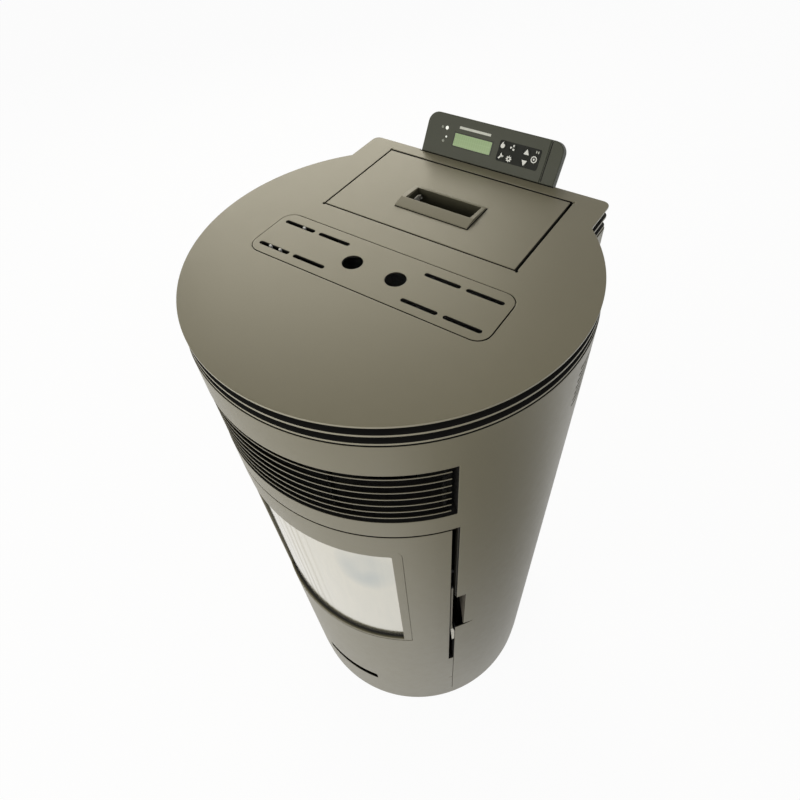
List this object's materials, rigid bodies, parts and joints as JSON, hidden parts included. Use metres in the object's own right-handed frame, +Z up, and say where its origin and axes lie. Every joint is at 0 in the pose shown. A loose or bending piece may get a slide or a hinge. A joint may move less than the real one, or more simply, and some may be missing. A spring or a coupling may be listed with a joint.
{
  "type": "pellet stove",
  "caption": "Round free-standing pellet stove with a curved glazed door, slatted warm-air outlet, lidded pellet hopper and a tilted control console at the rear.",
  "frame": {"origin": "middle of the bounding box, on the floor under the feet", "axes": "+Z up, the glazed door faces -Y, +X to the right as seen from the front"},
  "size_m": [0.502, 0.5232, 1.0929],
  "materials": {
    "casing_paint": "matte warm taupe stove enamel",
    "top_paint": "matte warm taupe stove enamel",
    "black_steel": "matte black",
    "stove_black": "heat resistant matte black",
    "bare_steel": "plain steel",
    "galvanised": "galvanised sheet",
    "cast_iron": "as cast",
    "vermiculite": "pressed mineral board",
    "rope": "braided glass fibre",
    "glass": "clear ceramic glass",
    "console_plastic": "matte",
    "key_plastic": "satin",
    "display": "polished window"
  },
  "bodies": {
    "stove": {"base_pan": "casing_paint", "casing_wrap": "casing_paint", "rear_panel": "casing_paint", "fin_plate_lower": "casing_paint", "fin_plate_upper": "casing_paint", "top_plate": "top_paint", "vent_panel": "top_paint", "outlet_grille": "casing_paint", "foot_front_left": "black_steel", "foot_front_right": "black_steel", "foot_rear_left": "black_steel", "foot_rear_right": "black_steel", "chassis_frame": "black_steel", "outlet_duct": "black_steel", "firebox": "stove_black", "back_liner": "vermiculite", "smoke_baffle": "cast_iron", "fire_plate": "cast_iron", "burn_pot": "cast_iron", "ash_pan": "galvanised", "igniter": "bare_steel", "hopper": "galvanised", "hopper_guard": "bare_steel", "lid_gasket": "rope", "auger_tube": "black_steel", "auger_motor": "black_steel", "smoke_duct": "black_steel", "exhaust_housing": "galvanised", "exhaust_motor": "black_steel", "flue_spigot": "stove_black", "blower_housing": "galvanised", "blower_motor": "black_steel", "intake_pipe": "bare_steel", "control_box": "console_plastic", "power_socket": "key_plastic", "console_case": "console_plastic", "display_window": "display", "lid_hinge_rod": "bare_steel", "door_hinge_pin_lower": "bare_steel", "door_hinge_pin_upper": "bare_steel"},
    "door": {"door_skin": "casing_paint", "window_bezel": "casing_paint", "window_glass": "glass", "glass_gasket": "rope", "door_frame": "stove_black", "door_seal": "rope"},
    "handle": {"door_handle": "bare_steel"},
    "lid": {"hopper_lid": "top_paint", "lid_handle": "top_paint"},
    "auger": {"auger_screw": "bare_steel"},
    "exhaust_fan": {"exhaust_impeller": "bare_steel"},
    "room_fan": {"blower_wheel": "black_steel"},
    "rocker": {"rocker_switch": "key_plastic"},
    "key_flame": {"key_flame": "key_plastic"},
    "key_fan": {"key_fan": "key_plastic"},
    "key_service": {"key_service": "key_plastic"},
    "key_settings": {"key_settings": "key_plastic"},
    "key_up": {"key_up": "key_plastic"},
    "key_down": {"key_down": "key_plastic"},
    "key_select": {"key_select": "key_plastic"}
  },
  "joints": [
    {"name": "door_hinge", "type": "hinge", "parent": "stove", "child": "door", "pos_m": [-0.18703, -0.16803, 0.5], "axis": [0, 0, -1], "range_deg": [0, 90]},
    {"name": "handle_hinge", "type": "hinge", "parent": "door", "child": "handle", "pos_m": [0.18365, -0.16506, 0.614], "axis": [-0.6438, -0.7652, 0], "range_deg": [0, 35]},
    {"name": "lid_hinge", "type": "hinge", "parent": "stove", "child": "lid", "pos_m": [0, 0.19145, 1.0375], "axis": [-1, 0, 0], "range_deg": [0, 80]},
    {"name": "auger_spin", "type": "hinge", "parent": "stove", "child": "auger", "pos_m": [0, 0.13145, 0.42], "axis": [0, -0.7071, 0.7071], "continuous": true},
    {"name": "exhaust_fan_spin", "type": "hinge", "parent": "stove", "child": "exhaust_fan", "pos_m": [0.06, 0.10945, 0.19], "axis": [1, 0, 0], "continuous": true},
    {"name": "room_fan_spin", "type": "hinge", "parent": "stove", "child": "room_fan", "pos_m": [-0.105, 0.09445, 0.17], "axis": [1, 0, 0], "continuous": true},
    {"name": "rocker_hinge", "type": "hinge", "parent": "stove", "child": "rocker", "pos_m": [-0.112, 0.22455, 0.085], "axis": [1, 0, 0], "range_deg": [-14, 0]},
    {"name": "key_flame_press", "type": "slide", "parent": "stove", "child": "key_flame", "axis": [0, 0.859, -0.512], "range_m": [0, 0.0005], "stiffness_N_per_m": 300, "springref_m": -0.0005},
    {"name": "key_fan_press", "type": "slide", "parent": "stove", "child": "key_fan", "axis": [0, 0.859, -0.512], "range_m": [0, 0.0005], "stiffness_N_per_m": 300, "springref_m": -0.0005},
    {"name": "key_service_press", "type": "slide", "parent": "stove", "child": "key_service", "axis": [0, 0.859, -0.512], "range_m": [0, 0.0005], "stiffness_N_per_m": 300, "springref_m": -0.0005},
    {"name": "key_settings_press", "type": "slide", "parent": "stove", "child": "key_settings", "axis": [0, 0.859, -0.512], "range_m": [0, 0.0005], "stiffness_N_per_m": 300, "springref_m": -0.0005},
    {"name": "key_up_press", "type": "slide", "parent": "stove", "child": "key_up", "axis": [0, 0.859, -0.512], "range_m": [0, 0.0005], "stiffness_N_per_m": 300, "springref_m": -0.0005},
    {"name": "key_down_press", "type": "slide", "parent": "stove", "child": "key_down", "axis": [0, 0.859, -0.512], "range_m": [0, 0.0005], "stiffness_N_per_m": 300, "springref_m": -0.0005},
    {"name": "key_select_press", "type": "slide", "parent": "stove", "child": "key_select", "axis": [0, 0.859, -0.512], "range_m": [0, 0.0005], "stiffness_N_per_m": 300, "springref_m": -0.0005}
  ]
}
